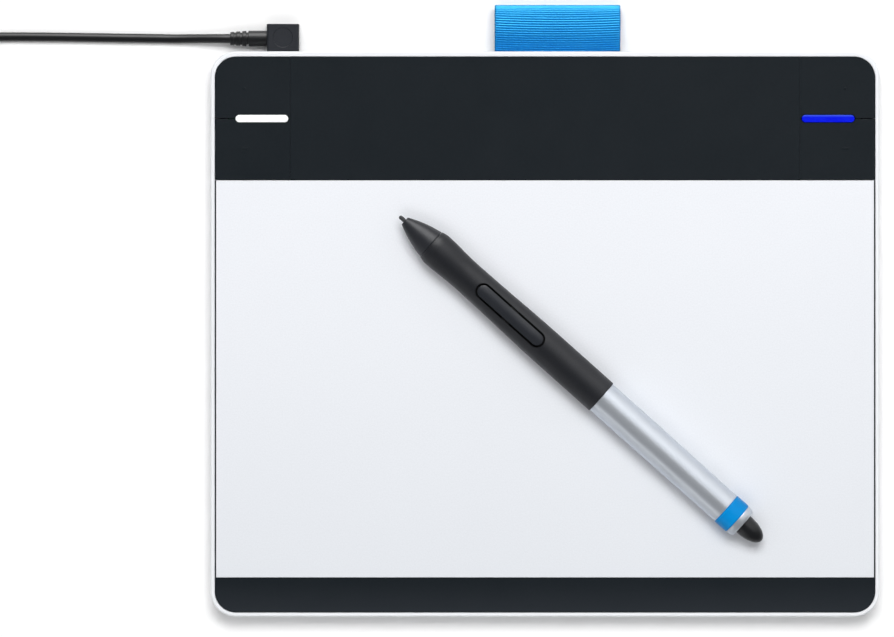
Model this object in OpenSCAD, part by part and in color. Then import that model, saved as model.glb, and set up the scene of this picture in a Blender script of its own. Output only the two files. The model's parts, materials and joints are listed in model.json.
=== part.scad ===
// Pen drawing tablet with its battery-free pen, fabric pen loop and detachable USB lead.
// The origin is on the table, under the middle of the tablet and its pen loop.
// +Z is up, +Y runs to the back edge with the key band and the loop, +X is to the user's right.
// All sizes are in millimetres.

/* [Case] */
// Width of the case, left to right
case_w = 217; // [205:1:235]
// Depth of the case, front to back
case_d = 183.4; // [178:0.2:195]
// Height of the drawing surface above the table
case_h = 10; // [10:0.1:12]
// Corner radius of the case seen from above
corner_r = 8.2; // [7.5:0.1:9.5]
// White rim beside the black top, left and right
rim_side = 1.45; // [1.3:0.05:1.8]
// White rim behind the black top
rim_back = 1.8; // [1.3:0.05:2]
// White rim in front of the black top
rim_front = 1.4; // [1.3:0.05:1.8]
// Depth of the black key band at the back
key_band = 40.1; // [38:0.1:42]
// Depth of the black band at the front
front_band = 11.3; // [10:0.1:13]
// Fall of the front band towards the user
front_fall = 0.5; // [0.3:0.05:0.6]

/* [Keys and lights] */
// Length of a corner key, from the case edge to its flex line
key_l = 24.4; // [23:0.1:26]
// Width of the slit between the two keys of a side
key_slit = 0.3; // [0.2:0.05:0.5]
// Length of a status light
light_l = 17.1; // [15:0.1:18]
// Width of a status light
light_w = 2.4; // [2:0.1:3]

/* [Pen loop] */
// Width of the fabric loop
loop_w = 40.8; // [30:0.2:45]
// Reach of the loop behind the case
loop_out = 15.2; // [14:0.1:18]
// Height of the loop where it is widest
loop_h = 9.5; // [9:0.1:9.8]
// Thickness of the ribbon
ribbon_t = 0.8; // [0.6:0.1:1]

/* [Pen] */
// Angle of the pen on the drawing surface, seen from above
pen_turn = -41.84; // [-60:0.01:-20]
// Place of the pen's tip, left to right
pen_x = -47.2; // [-60:0.1:-40]
// Place of the pen's tip, front to back
pen_y = 30.5; // [20:0.1:38]
// Radius of the front bulge of the grip
bulge_r = 5.8; // [5.7:0.01:5.85]
// Radius of the back end of the grip
grip_r = 5.87; // [5.85:0.01:6]
// Radius of the silver barrel
barrel_r = 5.6; // [5.5:0.01:5.7]

/* [USB lead] */
// Diameter of the lead
lead_d = 3; // [2.8:0.1:3.2]
// Mean radius of the stored coil
coil_r = 16.5; // [15:0.5:18]
// Turns side by side in the coil
coil_turns = 4; // [3:1:5]
// Layers of turns in the coil
coil_layers = 4; // [3:1:5]

/* [Hidden] */
$fn = 64;
eps = 0.01;

// Case
y_front = -(case_d + loop_out) / 2;
y_back = y_front + case_d;
y_mid = (y_front + y_back) / 2;
foot_up = 0.8;            // the case clears the table by this
floor_t = 1.6;            // thickness of the case floor
floor_z = foot_up + floor_t;
wall_t = 2.2;             // thickness of the case wall below the top
wall_x = case_w / 2 - wall_t;
wall_y = y_back - wall_t;
base_round = 3.5;         // round of the lower edge of the case
rim_round = 0.6;          // round of the rim
rim_z = case_h - 0.5;
seat_gap = 0.15;          // gap between the rim and the black top

// Black top and the sheet in it
top_w = case_w - 2 * rim_side;
top_front = y_front + rim_front;
top_back = y_back - rim_back;
top_d = top_back - top_front;
top_mid = (top_front + top_back) / 2;
top_r = corner_r - rim_side;
top_t = 1.6;
top_z = case_h - top_t;   // underside of the black top
skirt_t = 1.5;
skirt_z = top_z - 0.8;    // the ledge of the case that the skirt stands on
sheet_t = 0.4;
sheet_rail = 0.35;        // the black line beside the sheet
sheet_w = top_w - 2 * sheet_rail;
sheet_front = top_front + front_band;
sheet_back = top_back - key_band;
sheet_gap = 0.05;

// Keys, lights and their electronics
band_mid = (sheet_back + top_back) / 2;
flex_x = top_w / 2 - key_l;
flex_gap = 0.04;
light_x = top_w / 2 - 15.2;
light_gap = 0.25;
mark_x = top_w / 2 - 9.65;
mark_dy = 9.7;            // a key's mark is this far from the slit
mark_h = 0.15;
board_z = 5.2;
board_t = 1;
board_top = board_z + board_t;
post_z = 7.68;            // lower end of the post under a key
tact_h = 1.1;
tact_w = 4.4;
plunger_r = 0.85;
plunger_z = [6.92, 7.65];
key_sides = [[-1, 1], [-1, -1], [1, 1], [1, -1]]; // [left or right, back or front]

// Screws and feet, one screw under each foot
foot_places = [[-76, 74, 0], [76, 74, 0], [-98, -8, 90], [98, -8, 90], [-86, -88, 0], [86, -88, 0]];
foot_l = 22;
foot_w = 8;
foot_sink = 0.8;
pillar_z = 4;
pillar_r = 3.2;
head_r = 1.9;
head_z = [1.8, 3];
shank_r = 0.95;
shank_top = 7.5;
boss_r = 2.6;

// Battery and accessory bay in the underside, and its door
bay_x = 60;
bay_y = [0, 38];
bay_wall = 1;
bay_top = 6.5;
bay_roof = 0.55;
bay_splits = [-2, 42];    // walls between the battery, module and nib rooms
door_lap = 2;             // the door overlaps the bay's edge by this
door_gap = 0.2;
door_t = 1.2;
tongue_x = 36;
tongue_w = 8;
tongue_l = 1.2;
tongue_z = [1.3, 1.9];

// Sensor stack under the black top, listed from the top down
film_t = 0.2;
sensor_t = 0.8;
shield_t = 0.3;
sensor_x = 91;
sensor_y = [-80, 40];
sensor_top = top_z - film_t;
shield_top = sensor_top - sensor_t;

// Flex cable and its connector
flex_at = 32;
flex_w = 24;
flex_t = 0.2;
socket_y = 48;

// USB socket and the plug in it
plug_x = -85.1;
plug_z = 3.9;
plug_w = 10.5;
plug_y = [y_back + 0.15, y_back + 8.95];
plug_h = 6.4;
shell_size = [6.85, 1.8];
shell_wall = 0.25;
shell_y = 78;
socket_size = [7.7, 2.6];
socket_hole = [7.2, 2.2];
socket_from = 76.3;
lead_y = y_back + 4.3;
relief_end = plug_x - plug_w / 2 - 11.9;

// Pen: lengths along its axis, from the tip
pen_gap = 0.05;
pen_z = case_h + grip_r + pen_gap;
nib_r = 0.68;
nib_end = 27;
cone_from = 2.3;
cone_to = 13.69;
cone_r = [1.5, 5.2];
cone_arc = 39;            // radius of the cone's bulging side
grip_from = 13.75;
grip_to = 87.7;
grip_hole = 4.4;
carrier_r = 4.3;
barrel_to = 141.7;
barrel_end_r = barrel_r - 0.18;
barrel_hole = 4.6;
ring_to = 146.8;
ring_r = 5.55;
collar_to = 149.2;
collar_r = 5.42;
eraser_r = 3.45;
eraser_round = 150.4;     // where the eraser's round end starts
eraser_l = 6.9;           // length of the round end
rocker_at = 48.1;
rocker_l = 27.1;
rocker_w = 4.1;
rocker_gap = 0.67;
rocker_r = 5.72;          // height of the rocker's raised ends above the pen's axis
rocker_dip = 0.32;
pivot_z = 2.9;
pivot_r = 0.6;
dome_dx = 8;

// Lead: the free stretch to the coil, the coil and the stretch to the far plug
coil_lift = 0.7;          // the tie under the coil lifts it by this
coil_pitch = lead_d + 0.05;
coil_in = coil_r - coil_pitch * (coil_turns - 1) / 2;
coil_out = coil_r + coil_pitch * (coil_turns - 1) / 2;
coil_at = [-206, lead_y - coil_out];
coil_z = [coil_lift, coil_lift + coil_pitch * (coil_layers - 1) + lead_d];
tail_z = coil_z[1] - lead_d / 2;
tie_t = 0.6;
tie_w = 6;
tail_x = coil_at[0] - coil_out;
far_y = 9;                // where the far plug's relief ends
far_z = 4;
far_grip = [15.6, 7.9, 22];
far_shell = [12, 4.5, 12];
far_relief = 9;

lead_route = [
    [relief_end, lead_y, plug_z], [-105, lead_y, 3.8], [-109, lead_y, 3.3], [-113, lead_y, 2.6],
    [-117, lead_y, 2], [-121, lead_y, 1.6], [-126, lead_y + 0.1, 1.5], [-134, lead_y + 0.2, 1.5],
    [-144, lead_y + 0.35, 1.5], [-154, lead_y + 0.5, 1.5], [-164, lead_y + 0.6, 1.5],
    [-174, lead_y + 0.65, 1.5], [-184, lead_y + 0.6, 1.6], [-194, lead_y + 0.35, 1.9],
    [coil_at[0], lead_y, coil_lift + lead_d / 2]
];
tail_route = [
    [tail_x, coil_at[1], tail_z], [tail_x, coil_at[1] - 5, tail_z - 0.1], [tail_x, coil_at[1] - 10, tail_z - 0.6],
    [tail_x, coil_at[1] - 15, tail_z - 1.8], [tail_x, coil_at[1] - 20, tail_z - 3.6],
    [tail_x, coil_at[1] - 25, tail_z - 5.6], [tail_x, coil_at[1] - 30, tail_z - 7.4],
    [tail_x, 34, 2.8], [tail_x, 30, 2], [tail_x, 26, 1.6], [tail_x, 22, 1.8], [tail_x, 18, 2.5],
    [tail_x, 15, 3.2], [tail_x, 12, 3.8], [tail_x, far_y, far_z]
];

// Colours
white = [0.93, 0.93, 0.94];
black = [0.13, 0.14, 0.16];
silver = [0.72, 0.74, 0.77];
steel = [0.6, 0.62, 0.65];
blue = [0, 0.55, 0.86];
board_green = [0.05, 0.35, 0.2];
gold = [0.85, 0.65, 0.25];

// ---- Shared shapes ----

// A rounded rectangle, centred
module round_rect(w, d, r) {
    square([w - 2 * r, d], center = true);
    square([w, d - 2 * r], center = true);
    for (x = [-1, 1], y = [-1, 1]) translate([x * (w / 2 - r), y * (d / 2 - r)]) circle(r);
}

// A bar with round ends, centred, along X
module pill(l, w) {
    square([l - w, w], center = true);
    for (x = [-1, 1]) translate([x * (l - w) / 2, 0]) circle(w / 2);
}

// A box between two opposite corners
module box(low, high) {
    translate(low) cube(high - low);
}

// A block whose edge profile, the child, is swept round a rounded rectangle.
// The profile's x runs out from the corner's centre, and its y is the height.
module swept_block(w, d, r, z) {
    for (k = [0:3]) {
        long = k % 2 == 0 ? d : w;
        out = k % 2 == 0 ? w : d;
        rotate([0, 0, 90 * k]) {
            translate([out / 2 - r, long / 2 - r, 0]) rotate_extrude(angle = 90) children();
            translate([out / 2 - r, 0, 0]) rotate([90, 0, 0])
                linear_extrude(height = long - 2 * r, center = true) children();
        }
    }
    box([-(w / 2 - r), -(d / 2 - r), z[0]], [w / 2 - r, d / 2 - r, z[1]]);
}

// An edge profile r wide between two heights, with a round at the foot and one at the top
module edge_profile(r, z, low, high) {
    translate([0, z[0] + low]) square([r, z[1] - z[0] - low - high]);
    translate([0, z[0]]) square([r - low, z[1] - z[0] - high]);
    translate([0, z[0] + low]) square([r - high, z[1] - z[0] - low]);
    if (low > 0) translate([r - low, z[0] + low]) circle(low);
    translate([r - high, z[1] - high]) circle(high);
}

// ---- Case ----

module at_screws() {
    for (p = foot_places) translate([p[0], p[1], 0]) rotate([0, 0, p[2]]) children();
}

module case_block() {
    translate([0, y_mid, 0]) swept_block(case_w, case_d, corner_r, [foot_up, rim_z])
        edge_profile(corner_r, [foot_up, rim_z], base_round, rim_round);
}

// The room for the door's tongues, open to the inside of the case
module tongue_room() {
    for (x = [-1, 1]) box(
        [x * tongue_x - tongue_w / 2 - 0.2, bay_y[0] - door_lap - tongue_l - 0.2, tongue_z[0] - 0.1],
        [x * tongue_x + tongue_w / 2 + 0.2, bay_y[0] + eps, floor_z + eps]);
}

module bay_walls() {
    difference() {
        box([-bay_x - bay_wall, bay_y[0] - bay_wall, floor_z - eps],
            [bay_x + bay_wall, bay_y[1] + bay_wall, bay_top + bay_roof]);
        box([-bay_x, bay_y[0], foot_up], [bay_x, bay_y[1], bay_top]);
        for (x = [-1, 1]) box(
            [x * tongue_x - tongue_w / 2 - 0.2, bay_y[0] - bay_wall - eps, floor_z - 1],
            [x * tongue_x + tongue_w / 2 + 0.2, bay_y[0] + eps, floor_z + 1.2]);
    }
    for (x = bay_splits) box([x - bay_wall / 2, bay_y[0] - eps, floor_z - 0.2],
                             [x + bay_wall / 2, bay_y[1] + eps, bay_top + eps]);
}

module bottom_shell() {
    color(white) difference() {
        union() {
            difference() {
                case_block();
                translate([0, y_mid, floor_z]) linear_extrude(case_h)
                    round_rect(case_w - 2 * wall_t, case_d - 2 * wall_t, corner_r - wall_t);
                translate([0, top_mid, skirt_z]) linear_extrude(case_h)
                    round_rect(top_w + 2 * seat_gap, top_d + 2 * seat_gap, top_r + seat_gap);
                // Seat of the door, and the way into the bay
                box([-bay_x - door_lap, bay_y[0] - door_lap, 0],
                    [bay_x + door_lap, bay_y[1] + door_lap, foot_up + door_t]);
                box([-bay_x, bay_y[0], 0], [bay_x, bay_y[1], floor_z + 1]);
                tongue_room();
            }
            bay_walls();
            at_screws() translate([0, 0, floor_z - eps]) cylinder(r = pillar_r, h = pillar_z - floor_z + eps);
        }
        at_screws() translate([0, 0, -eps]) {
            linear_extrude(foot_up + foot_sink + eps) pill(foot_l, foot_w);
            cylinder(r = head_r + 0.2, h = head_z[1] + eps);
            cylinder(r = shank_r + 0.15, h = pillar_z + 1);
        }
        // Finger notch at the free edge of the door
        translate([0, bay_y[1] + door_lap, foot_up - 5.2]) rotate([0, 90, 0])
            cylinder(r = 6, h = 16, center = true);
        // Window for the USB plug
        translate([plug_x, y_back, plug_z]) rotate([90, 0, 0])
            linear_extrude(2 * wall_t + 1, center = true) round_rect(8.4, 3.2, 0.6);
        // Slot for the ribbon of the pen loop
        translate([loop_at[0], y_back, loop_at[1]])
            cube([loop_w + 1, 2 * wall_t + 1, 2 * ribbon_t + 0.5], center = true);
    }
}

// ---- Black top, sheet, keys and lights ----

// The space under the top surface, in a front-to-back section: open above the level part,
// then falling to a round front edge
module top_section() {
    edge_round = 0.3;
    edge_z = case_h - front_fall - edge_round;
    polygon(concat([[case_d, 0], [case_d, case_h + 1], [sheet_front, case_h + 1]],
        [for (k = [0:10]) [sheet_front - (front_band - edge_round) * k / 10, case_h - front_fall * pow(k / 10, 2)]],
        [for (a = [60, 30, 0]) [top_front + edge_round * (1 - cos(a)), edge_z + edge_round * sin(a)]],
        [[top_front, 0]]));
}

module top_block() {
    intersection() {
        translate([0, top_mid, top_z]) linear_extrude(top_t) round_rect(top_w, top_d, top_r);
        rotate([90, 0, 90]) linear_extrude(case_w, center = true) top_section();
    }
}

// The room of one side's two keys, light included
module key_room(side) {
    from = flex_x - flex_gap / 2;
    translate([side > 0 ? from : -from - case_w, sheet_back, top_z - 1]) cube([case_w, case_d, 4]);
}

module light_hole(side, gap) {
    translate([side * light_x, band_mid, top_z - 1]) linear_extrude(4)
        pill(light_l + 2 * gap, light_w + 2 * gap);
}

module top_frame() {
    color(black) difference() {
        union() {
            top_block();
            // Skirt that locates the top in the case, left out under the keys
            translate([0, top_mid, skirt_z]) linear_extrude(top_z - skirt_z + eps) difference() {
                round_rect(top_w, top_d, top_r);
                round_rect(top_w - 2 * skirt_t, top_d - 2 * skirt_t, top_r - skirt_t);
            }
            at_screws() translate([0, 0, pillar_z]) cylinder(r = boss_r, h = top_z - pillar_z + eps);
        }
        for (s = [-1, 1]) key_room(s);
        // Seat of the sheet
        box([-sheet_w / 2 - sheet_gap, sheet_front - sheet_gap, case_h - sheet_t],
            [sheet_w / 2 + sheet_gap, sheet_back + 0.15, case_h + 1]);
        at_screws() translate([0, 0, pillar_z - eps]) cylinder(r = shank_r + 0.05, h = shank_top - pillar_z + 0.3);
    }
}

module drawing_sheet() {
    color(silver) box([-sheet_w / 2, sheet_front, case_h - sheet_t], [sheet_w / 2, sheet_back, case_h]);
}

// A corner key: [left or right, back or front]
module key(side) {
    low = side[1] > 0 ? band_mid + key_slit / 2 : sheet_back + 0.25;
    high = side[1] > 0 ? case_d : band_mid - key_slit / 2;
    from = flex_x + flex_gap / 2;
    spot = [side[0] * mark_x, band_mid + side[1] * mark_dy, 0];
    color(black) {
        difference() {
            union() {
                intersection() {
                    top_block();
                    translate([side[0] > 0 ? from : -from - case_w, low, top_z - 1]) cube([case_w, high - low, 4]);
                }
                translate(spot) translate([0, 0, post_z]) cylinder(r = 1.2, h = top_z - post_z + eps);
                // The raised mark: a dot on a back key, a dash on a front key
                translate(spot) translate([0, 0, case_h - 0.2])
                    if (side[1] > 0) cylinder(r1 = 0.55, r2 = 0.4, h = 0.2 + mark_h);
                    else linear_extrude(0.2 + mark_h) pill(2.2, 0.7);
            }
            light_hole(side[0], light_gap);
        }
    }
}

module light(side) {
    color(side < 0 ? [0.98, 0.98, 1] : [0.05, 0.1, 0.9]) translate([side * light_x, band_mid, board_top + 0.9])
        linear_extrude(case_h - board_top - 0.9) pill(light_l, light_w);
}

// ---- Pen loop ----

loop_at = [4.1, 5]; // [middle of the loop left to right, height of the ribbon's slot]

// The loop's section beside the slot: a round end joined to the slot by two straight runs.
// It is drawn as [distance behind the case, height above the slot].
function teardrop(r, reach, root) = let (
        middle = reach - r,
        turn = acos((r - root) / middle),
        steps = 28
    ) concat([[0, root]],
        [for (k = [0:steps]) let (a = 180 - turn - k * (360 - 2 * turn) / steps)
            [middle + r * cos(a), r * sin(a)]],
        [[0, -root]]);

module pen_loop() {
    root = ribbon_t;
    color(blue) translate([loop_at[0], y_back, loop_at[1]]) rotate([90, 0, 90]) {
        linear_extrude(loop_w, center = true) difference() {
            polygon(teardrop(loop_h / 2, loop_out, root));
            translate([1.5 * ribbon_t, 0])
                polygon(teardrop(loop_h / 2 - ribbon_t, loop_out - 2.5 * ribbon_t, 0.05));
        }
        linear_extrude(loop_w, center = true)
            translate([-wall_t - 3, -root]) square([wall_t + 4, 2 * root]);
    }
}

module loop_retainer() {
    color(white) difference() {
        box([loop_at[0] - loop_w / 2 - 3, y_back - wall_t - 5, loop_at[1] - 2.2],
            [loop_at[0] + loop_w / 2 + 3, y_back - wall_t - 0.2, loop_at[1] + 2.6]);
        translate([loop_at[0], y_back - wall_t - 1, loop_at[1]])
            cube([loop_w + 0.2, 4.2, 2 * ribbon_t + 0.1], center = true);
    }
}

// ---- Feet, screws and door ----

module rubber_feet() {
    color([0.55, 0.56, 0.58]) at_screws() {
        linear_extrude(foot_up + foot_sink) pill(foot_l - 0.2, foot_w - 0.2);
    }
}

module case_screws() {
    color(steel) at_screws() difference() {
        union() {
            translate([0, 0, head_z[0]]) cylinder(r = head_r, h = head_z[1] - head_z[0]);
            translate([0, 0, head_z[1] - eps]) cylinder(r = shank_r, h = shank_top - head_z[1]);
        }
        for (turn = [0, 90]) rotate([0, 0, turn]) cube([2.2, 0.45, 2 * head_z[0] + 1.2], center = true);
    }
}

module battery_door() {
    edge = door_lap - door_gap;
    color(white) difference() {
        union() {
            box([-bay_x - edge, bay_y[0] - edge, foot_up], [bay_x + edge, bay_y[1] + edge, foot_up + door_t - 0.02]);
            for (x = [-1, 1]) box(
                [x * tongue_x - tongue_w / 2, bay_y[0] - edge - tongue_l, tongue_z[0]],
                [x * tongue_x + tongue_w / 2, bay_y[0] - edge + eps, tongue_z[1]]);
            // Low ribs that stiffen the door, inside the bay
            for (x = [-46, -16, 28]) box([x, bay_y[0] + 2, foot_up + 1], [x + 0.8, bay_y[1] - 2, foot_up + 1.45]);
        }
        // Grip grooves near the free edge
        for (k = [0:4]) box([-8, bay_y[1] - 3 - 1.6 * k, 0], [8, bay_y[1] - 2.2 - 1.6 * k, foot_up + 0.4]);
    }
}

// ---- Inside the case ----

module touch_film() {
    color([0.8, 0.75, 0.5]) box([-sensor_x, sensor_y[0], sensor_top], [sensor_x, sensor_y[1], top_z]);
}

module sensor_board() {
    color(board_green) box([-sensor_x, sensor_y[0], shield_top], [sensor_x, sensor_y[1], sensor_top]);
}

module shield_plate() {
    color(steel) box([-sensor_x + 1, sensor_y[0] + 1, shield_top - shield_t], [sensor_x - 1, sensor_y[1] - 6, shield_top]);
}

module main_board() {
    color(board_green) difference() {
        translate([0, 0, board_z]) linear_extrude(board_t) {
            translate([-103, 46]) square([206, 25]);
            for (s = [-1, 1]) translate([s > 0 ? 84 : -103, 46]) square([19, 31]);
            translate([plug_x - 7, 46]) square([14, 34.5]);
        }
        at_screws() cylinder(r = boss_r + 0.5, h = case_h);
    }
}

module controller_chips() {
    color(black) for (c = [[-30, 60, 9, 9], [-14, 56, 5, 6], [6, 62, 7, 7], [-52, 58, 6, 4], [60, 58, 6, 6]])
        translate([c[0], c[1], board_top + 0.45]) cube([c[2], c[3], 0.9], center = true);
}

module flex_cable() {
    y = [sensor_y[1] - 5, sensor_y[1] + 0.5, socket_y - 1.5, socket_y];
    z = [shield_top - flex_t, board_top + 0.4];
    color([0.75, 0.5, 0.2]) translate([flex_at, 0, 0]) rotate([90, 0, 90]) linear_extrude(flex_w, center = true)
        polygon([[y[0], z[0]], [y[1], z[0]], [y[2], z[1]], [y[3], z[1]],
                 [y[3], z[1] + flex_t], [y[2], z[1] + flex_t], [y[1], z[0] + flex_t], [y[0], z[0] + flex_t]]);
}

module flex_socket() {
    color([0.9, 0.88, 0.8]) box([flex_at - flex_w / 2 - 2, socket_y, board_top],
                                [flex_at + flex_w / 2 + 2, socket_y + 4, board_top + 1]);
}

module usb_socket() {
    color(steel) translate([plug_x, 0, plug_z]) {
        difference() {
            translate([0, socket_from, 0]) rotate([-90, 0, 0]) linear_extrude(wall_y - 0.1 - socket_from)
                square(socket_size, center = true);
            translate([0, socket_from + 1, 0]) rotate([-90, 0, 0]) linear_extrude(10) square(socket_hole, center = true);
        }
        translate([0, socket_from + 0.9, 0]) rotate([-90, 0, 0]) linear_extrude(3.6) square([3.6, 0.6], center = true);
    }
}

module status_leds() {
    color([0.95, 0.95, 0.8]) for (s = [-1, 1]) translate([s * light_x, band_mid, board_top + 0.4])
        cube([3.2, 1.6, 0.8], center = true);
}

module at_key_spot(side) {
    translate([side[0] * mark_x, band_mid + side[1] * mark_dy, 0]) children();
}

module tact_switches() {
    color(steel) for (side = key_sides) at_key_spot(side) difference() {
        translate([0, 0, board_top + tact_h / 2]) cube([tact_w, tact_w, tact_h], center = true);
        translate([0, 0, plunger_z[0] - 0.4]) cylinder(r = plunger_r + 0.05, h = 5);
    }
}

module plunger(side) {
    color(black) at_key_spot(side) translate([0, 0, plunger_z[0]])
        cylinder(r = plunger_r, h = plunger_z[1] - plunger_z[0]);
}

module battery_contacts() {
    color(gold) for (k = [0:2]) box([-bay_x, 14 + 4 * k, 3.2], [-bay_x + 0.8, 16 + 4 * k, 5.6]);
}

module module_header() {
    color(black) box([bay_splits[0] + 0.5, 9, 4.9], [bay_splits[0] + 3, 27, bay_top]);
}

nib_room = [bay_splits[1] + 0.5, bay_x];

module spare_nibs() {
    color([0.25, 0.26, 0.28]) for (k = [0:2])
        translate([nib_room[0] + 3 + 3.6 * k, 6, bay_top - nib_r - 0.02]) rotate([-90, 0, 0]) {
            cylinder(r = nib_r, h = 24);
            translate([0, 0, 24]) sphere(nib_r);
        }
}

module nib_puller() {
    color(steel) translate([nib_room[1] - 3.4, 30, bay_top - 1.22]) difference() {
        cylinder(r = 2.9, h = 1.2);
        translate([0, 0, -eps]) cylinder(r = 1.9, h = 2);
        translate([0, -3, 0]) cube([0.8, 4, 4], center = true);
    }
}

// ---- Pen, drawn from its tip along +X with the side switch on top ----

module place_pen() {
    translate([pen_x, pen_y, pen_z]) rotate([0, 0, pen_turn]) children();
}

// Turns a profile, drawn as [distance from the tip, radius], round the pen's axis
module turned() {
    rotate([90, 0, 90]) rotate_extrude() mirror([1, -1, 0]) children();
}

// A straight tube of the pen between two distances from the tip
module pen_tube(from, to, r, hole = 0) {
    turned() translate([from, hole]) square([to - from, r - hole]);
}

// Points of an arc that bulges by its radius between two profile points
function bulge(a, b, r, steps) = let (
        chord = norm(b - a),
        along = (b - a) / chord,
        out = [-along[1], along[0]],
        centre = (a + b) / 2 - out * sqrt(r * r - chord * chord / 4),
        half = asin(chord / 2 / r)
    ) [for (k = [0:steps]) let (t = half * (2 * k / steps - 1))
        centre + r * (along * sin(t) + out * cos(t))];

// Points of a smooth wave between two profile points, level at both ends
function ease(a, b, steps) = [for (k = [1:steps])
    [a[0] + (b[0] - a[0]) * k / steps, a[1] + (b[1] - a[1]) * (1 - cos(180 * k / steps)) / 2]];

waist_r = 5.32;
grip_points = concat([[grip_from, cone_r[1] + 0.05]],
    bulge([grip_from + 0.1, cone_r[1] + 0.12], [17.4, bulge_r], 9, 5),
    ease([17.4, bulge_r], [28.5, waist_r], 8),
    ease([28.5, waist_r], [66, grip_r], 10),
    [[grip_to - 0.2, grip_r], [grip_to, grip_r - 0.2]]);

module pen_nib() {
    color([0.3, 0.31, 0.33]) place_pen() {
        pen_tube(nib_r, nib_end, nib_r);
        translate([nib_r, 0, 0]) sphere(nib_r);
    }
}

module pen_cone() {
    color(black) place_pen() difference() {
        union() {
            turned() polygon(concat([[cone_from, 0]],
                bulge([cone_from, cone_r[0]], [cone_to, cone_r[1]], cone_arc, 8), [[cone_to, 0]]));
            pen_tube(cone_to - 1, cone_to + 4, carrier_r);
        }
        pen_tube(0, 30, nib_r + 0.12);
        pen_tube(10.5, 30, 3);
    }
}

module rocker_slot(l, w, low) {
    translate([rocker_at, 0, low]) linear_extrude(10) pill(l, w);
}

module pen_grip() {
    color(black) place_pen() difference() {
        turned() polygon(concat([[grip_from, grip_hole]], grip_points, [[grip_to, grip_hole]]));
        rocker_slot(rocker_l + 2 * rocker_gap, rocker_w + 2 * rocker_gap, 0);
    }
}

module pen_barrel() {
    color(silver) place_pen() turned() polygon([
        [grip_to + 0.02, barrel_hole], [grip_to + 0.02, barrel_r], [grip_to + 20, barrel_r],
        [barrel_to, barrel_end_r], [barrel_to, barrel_hole]]);
}

module pen_ring() {
    color(blue) place_pen() turned() polygon([
        [barrel_to, barrel_hole], [barrel_to, ring_r - 0.25], [barrel_to + 0.25, ring_r],
        [ring_to - 0.25, ring_r], [ring_to, ring_r - 0.25], [ring_to, barrel_hole]]);
}

module pen_collar() {
    rim = collar_to - ring_to;
    color(silver) place_pen() difference() {
        union() {
            pen_tube(ring_to - 7, ring_to + 1, barrel_hole - 0.05);
            turned() polygon(concat([[ring_to, 0]],
                [for (k = [0:8]) [ring_to + rim * sin(90 * k / 8), collar_r - 0.9 * (1 - cos(90 * k / 8))]],
                [[collar_to, 0]]));
        }
        pen_tube(ring_to - 8, collar_to + 1, eraser_r + 0.15);
    }
}

module pen_eraser() {
    color([0.16, 0.17, 0.19]) place_pen() turned() polygon(concat(
        [[137.4, 0], [137.4, 1.5], [147.4, 1.5], [147.4, eraser_r]],
        [for (k = [0:12]) [eraser_round + eraser_l * sin(90 * k / 12), eraser_r * cos(90 * k / 12)]]));
}

module side_switch() {
    half = rocker_l / 2;
    color(black) place_pen() difference() {
        union() {
            intersection() {
                rocker_slot(rocker_l, rocker_w, 3.95);
                turned() polygon(concat([[rocker_at - half, 0]],
                    [for (k = [-12:12]) [rocker_at + k * half / 12,
                        rocker_r - rocker_dip * pow(cos(90 * k / 12), 2) - 0.45 * pow(k / 12, 8)]],
                    [[rocker_at + half, 0]]));
            }
            translate([rocker_at, 0, pivot_z]) rotate([90, 0, 0]) cylinder(r = 1.4, h = 3.6, center = true);
            for (s = [-1, 1]) translate([rocker_at + s * dome_dx, 0, 1.85]) cylinder(r = 0.8, h = 2.4);
        }
        translate([rocker_at, 0, pivot_z]) rotate([90, 0, 0]) cylinder(r = pivot_r + 0.05, h = 20, center = true);
    }
}

module switch_pivot() {
    color(steel) place_pen() translate([rocker_at, 0, pivot_z]) rotate([90, 0, 0])
        cylinder(r = pivot_r, h = 5.4, center = true);
}

// The inner trough that carries the pen's electronics and the rocker's pivot
module pen_carrier() {
    color(black) place_pen() difference() {
        union() {
            intersection() {
                pen_tube(31.5, 130.5, carrier_r);
                translate([80, 0, -carrier_r]) cube([200, 20, 2 * carrier_r], center = true);
            }
            for (s = [-1, 1]) intersection() {
                translate([rocker_at, s * 2.4, 1.5]) cube([3.2, 0.9, 6], center = true);
                pen_tube(20, 80, carrier_r - 0.05);
            }
            pen_tube(120, 130.5, carrier_r);
        }
        pen_tube(30, 200, 1.9);
        translate([rocker_at, 0, pivot_z]) rotate([90, 0, 0]) cylinder(r = pivot_r + 0.03, h = 20, center = true);
    }
}

module pen_core() {
    color([0.2, 0.2, 0.2]) place_pen() pen_tube(11, 23, 1.9, nib_r + 0.15);
}

module pen_winding() {
    color([0.7, 0.4, 0.15]) place_pen() pen_tube(12.5, 22, 2.8, 1.95);
}

module nib_sensor() {
    color(steel) place_pen() difference() {
        pen_tube(24, 31.4, 3.2);
        pen_tube(20, nib_end + 0.7, nib_r + 0.1);
    }
}

module pen_board() {
    color(board_green) place_pen() difference() {
        translate([76, 0, 0.5]) cube([84, 5.8, 0.8], center = true);
        for (s = [-1, 1]) translate([rocker_at, s * 2.4, 0]) cube([3.6, 1.3, 20], center = true);
    }
}

module switch_domes() {
    color(gold) place_pen() for (s = [-1, 1]) translate([rocker_at + s * dome_dx, 0, 0.9])
        cylinder(r1 = 1.7, r2 = 1.2, h = 0.5);
}

module eraser_sensor() {
    color(steel) place_pen() difference() {
        pen_tube(131, 139.4, 4);
        pen_tube(136.2, 150, 1.6);
    }
}

// ---- USB lead ----

// A unit vector along b - a
function toward(a, b) = (b - a) / norm(b - a);

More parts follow.
